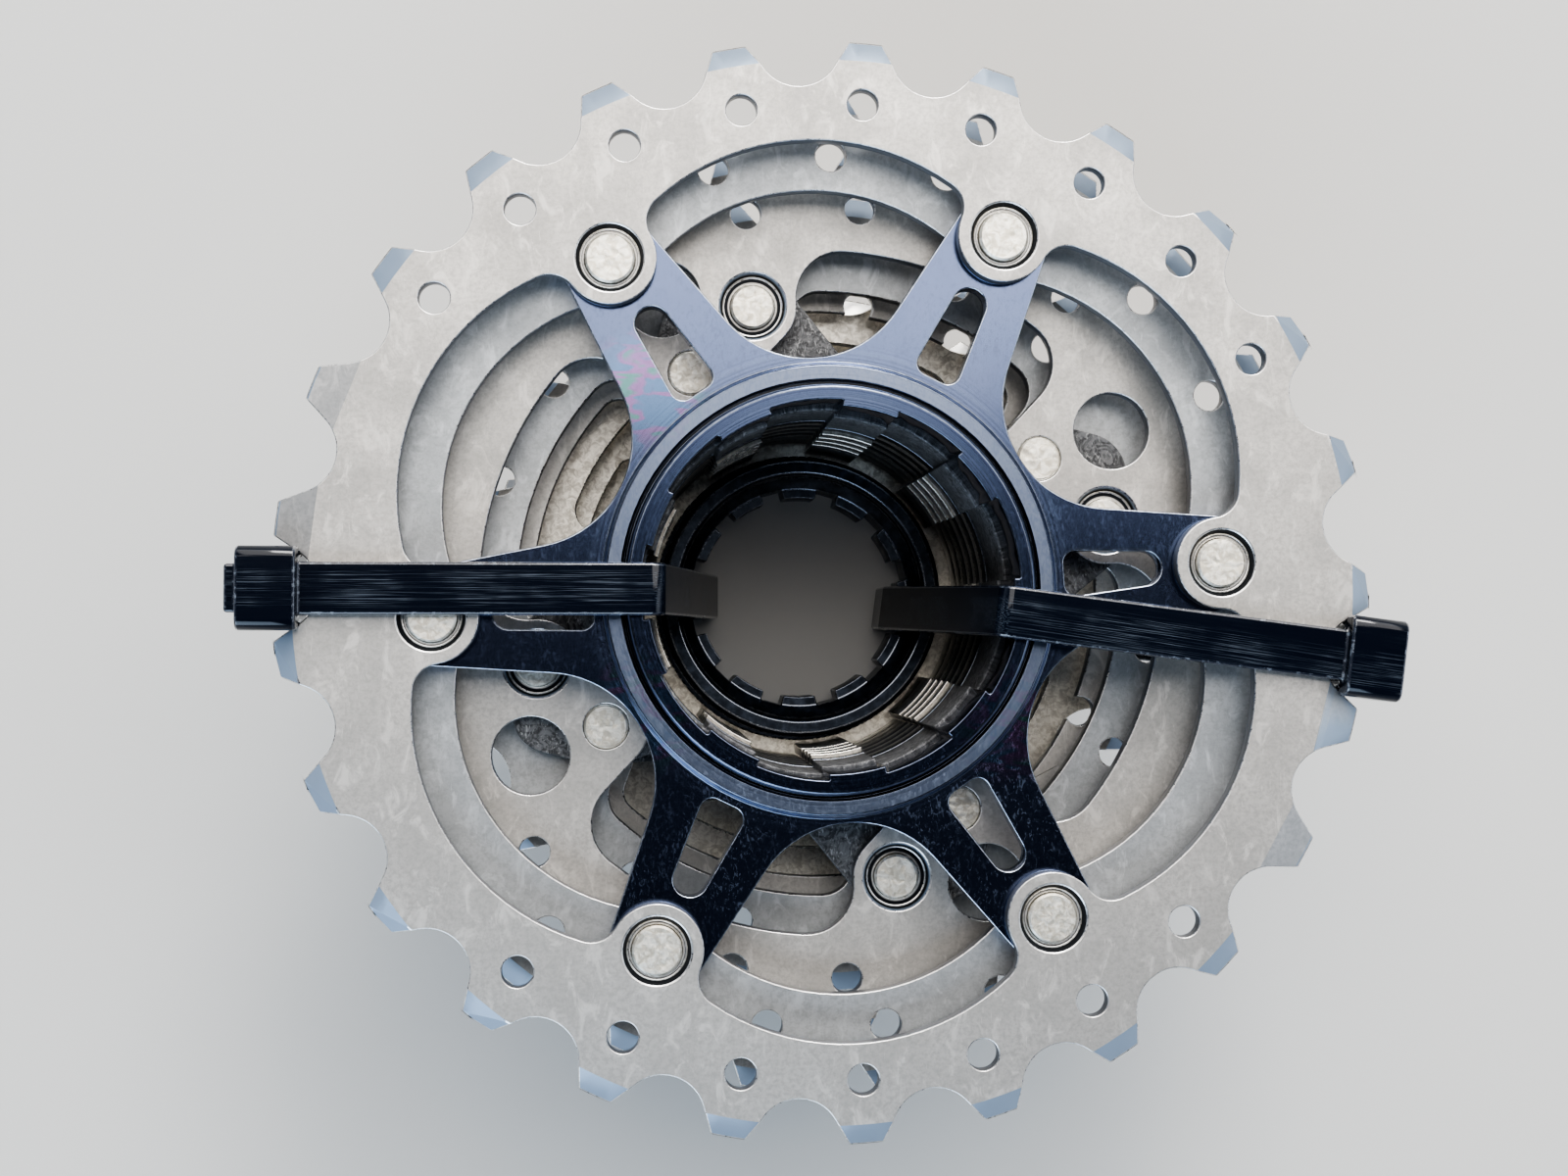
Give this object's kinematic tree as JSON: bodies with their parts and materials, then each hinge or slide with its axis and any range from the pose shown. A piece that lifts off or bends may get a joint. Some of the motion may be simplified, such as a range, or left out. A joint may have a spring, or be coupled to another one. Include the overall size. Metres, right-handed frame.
{
  "type": "bicycle cassette sprocket",
  "caption": "Road bicycle cassette: a cone of toothed sprockets riveted to an aluminium and a carbon spider, with loose sprockets, spacers and a lock ring bundled by cable ties.",
  "frame": {"origin": "centre of the freehub bore on the back face of the largest sprocket", "axes": "+Z along the axle, inboard, away from the small sprockets; +X in the plane of the two ties, towards the right-hand tie"},
  "size_m": [0.1089, 0.102, 0.0455],
  "materials": {
    "titanium": "matte bead-blasted titanium, warm grey",
    "nickel_steel": "satin nickel plate over steel",
    "black_anodised": "deep blue-black anodised, satin with turned bands",
    "carbon_composite": "moulded chopped-carbon composite with pale flecks",
    "rivet_metal": "bright clenched rivet heads with a mottled face",
    "spacer_anodised": "black anodised rings",
    "lock_ring_metal": "dark grey anodised with bright worn edges",
    "washer_steel": "thin plated steel",
    "tie_nylon": "glossy black nylon with lengthwise scuffs"
  },
  "bodies": {
    "stack": {"sprocket_25t": "titanium", "sprocket_23t": "titanium", "sprocket_21t": "titanium", "sprocket_19t": "titanium", "sprocket_17t": "titanium", "sprocket_16t": "nickel_steel", "sprocket_15t": "nickel_steel", "sprocket_14t": "nickel_steel", "sprocket_13t": "nickel_steel", "sprocket_12t": "nickel_steel", "sprocket_11t": "nickel_steel", "alloy_spider": "black_anodised", "carbon_spider": "carbon_composite", "alloy_spider_rivets": "rivet_metal", "carbon_outer_rivets": "rivet_metal", "carbon_inner_rivets": "rivet_metal", "spacer_17_16": "spacer_anodised", "spacer_16_15": "spacer_anodised", "spacer_15_14": "spacer_anodised", "spacer_14_13": "spacer_anodised", "lock_ring_washer": "washer_steel", "cable_tie_left": "tie_nylon", "cable_tie_right": "tie_nylon"},
    "lock_ring_body": {"lock_ring": "lock_ring_metal"}
  },
  "joints": [
    {"name": "lock_ring_turn", "type": "hinge", "parent": "stack", "child": "lock_ring_body", "pos_m": [0, 0, -0.0394], "axis": [0, 0, 1], "continuous": true}
  ]
}
